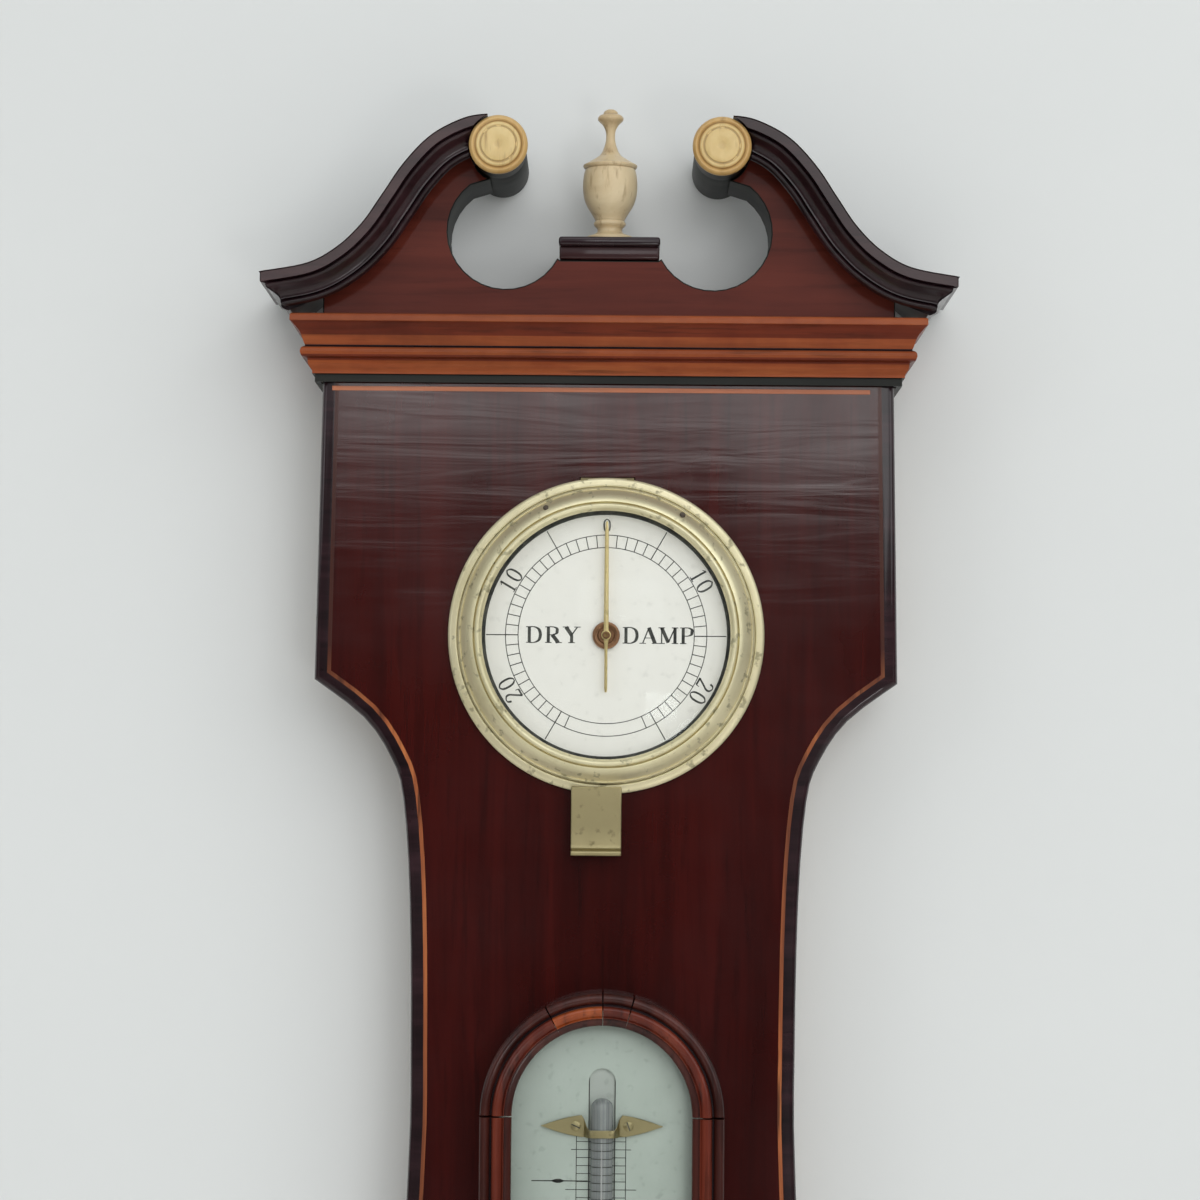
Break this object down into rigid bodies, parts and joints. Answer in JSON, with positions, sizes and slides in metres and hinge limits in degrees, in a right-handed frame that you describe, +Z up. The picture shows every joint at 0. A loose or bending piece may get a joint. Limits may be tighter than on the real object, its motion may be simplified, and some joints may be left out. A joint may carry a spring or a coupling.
{
  "type": "wheel barometer",
  "caption": "Wall-hung banjo barometer with broken pediment, hygrometer, boxed thermometer, round weather dial with blued and brass hands, and a level in its foot.",
  "frame": {"origin": "centre of the hanging eye, on the wall plane at the back of the head", "axes": "+Z up, +Y into the wall, +X to the right of someone facing the dial"},
  "size_m": [0.2598, 0.0475, 0.9706],
  "materials": {
    "mahogany": "french polished dark mahogany",
    "cornice_wood": "waxed orange brown mahogany",
    "ebonised": "polished near black",
    "pine": "bare sawn pine",
    "bone": "turned and mottled bone",
    "brass": "aged pale brass",
    "silvered": "silvered and grained",
    "blued_steel": "blued",
    "glass": "clear",
    "lead": "dull",
    "silk": "waxed twist",
    "straw": "dry"
  },
  "bodies": {
    "case": {"case_front": "mahogany", "case_carcass": "pine", "pediment_board": "mahogany", "swan_neck_left": "ebonised", "swan_neck_right": "ebonised", "pediment_return_left": "ebonised", "pediment_return_right": "ebonised", "scroll_boss_left": "ebonised", "scroll_boss_right": "ebonised", "roundel_left": "bone", "roundel_right": "bone", "plinth_cap": "ebonised", "urn_finial": "bone", "cornice_front": "cornice_wood", "cornice_return_left": "cornice_wood", "cornice_return_right": "cornice_wood", "hanging_plate": "brass", "hygro_dial": "silvered", "oat_beard": "straw", "hygro_hinge": "brass", "thermo_arch_left": "mahogany", "thermo_arch_right": "mahogany", "thermo_stile_left": "mahogany", "thermo_stile_right": "mahogany", "thermo_sill": "mahogany", "thermo_glass": "glass", "thermo_plate": "silvered", "thermo_tube": "glass", "tube_saddle_upper": "brass", "tube_saddle_lower": "brass", "main_dial": "silvered", "main_hinge": "brass", "movement_bridge": "brass", "set_cord": "silk", "key_collar": "brass", "siphon_tube": "glass", "tube_strap_upper": "brass", "tube_strap_lower": "brass", "door_hinge_upper": "brass", "door_hinge_lower": "brass", "level_plate": "silvered", "level_vial": "glass"},
    "hygrometer_hand": {"hygro_hand": "brass", "hygro_hub": "brass"},
    "hygrometer_bezel": {"hygro_bezel": "brass", "hygro_glass": "glass", "hygro_tab": "brass"},
    "dial_bezel": {"main_bezel": "brass", "main_glass": "glass"},
    "pressure_wheel": {"pressure_hand": "blued_steel", "pressure_arbor": "blued_steel", "pulley_wheel": "brass"},
    "marker_hand": {"set_hand": "brass", "set_pulley": "brass"},
    "setting_key": {"key_shaft": "brass", "key_knob": "bone"},
    "float": {"siphon_float": "glass"},
    "weight": {"counterweight": "lead"},
    "door": {"back_door": "pine"}
  },
  "joints": [
    {"name": "hygrometer_turn", "type": "hinge", "parent": "case", "child": "hygrometer_hand", "pos_m": [0, -0.035, -0.055], "axis": [0, 1, 0], "range_deg": [-150, 150], "stiffness_Nm_per_rad": 0.001},
    {"name": "hygrometer_bezel_hinge", "type": "hinge", "parent": "case", "child": "hygrometer_bezel", "pos_m": [0, -0.0338, -0.0145], "axis": [-1, 0, 0], "range_deg": [0, 95]},
    {"name": "dial_bezel_hinge", "type": "hinge", "parent": "case", "child": "dial_bezel", "pos_m": [-0.1132, -0.0345, -0.604], "axis": [0, 0, -1], "range_deg": [0, 110]},
    {"name": "pressure_turn", "type": "hinge", "parent": "case", "child": "pressure_wheel", "pos_m": [0, -0.02, -0.604], "axis": [0, 1, 0], "range_deg": [-180, 180]},
    {"name": "float_slide", "type": "slide", "parent": "case", "child": "float", "axis": [0, 0, 1], "range_m": [-0.0195, 0.0195]},
    {"name": "weight_slide", "type": "slide", "parent": "case", "child": "weight", "axis": [0, 0, 1], "range_m": [-0.0195, 0.0195]},
    {"name": "key_turn", "type": "hinge", "parent": "case", "child": "setting_key", "pos_m": [0, -0.03, -0.738], "axis": [0, 1, 0], "range_deg": [-322, 322]},
    {"name": "marker_turn", "type": "hinge", "parent": "case", "child": "marker_hand", "pos_m": [0, -0.03, -0.604], "axis": [0, 1, 0], "range_deg": [-160, 160]},
    {"name": "door_hinge", "type": "hinge", "parent": "case", "child": "door", "pos_m": [-0.0535, -0.0017, -0.6415], "axis": [0, 0, 1], "range_deg": [0, 100]}
  ],
  "couplings": [
    {"joint": "float_slide", "follows": "pressure_turn", "m_per_rad": -0.006064},
    {"joint": "weight_slide", "follows": "pressure_turn", "m_per_rad": 0.006064},
    {"joint": "key_turn", "follows": "marker_turn", "ratio": 2}
  ]
}
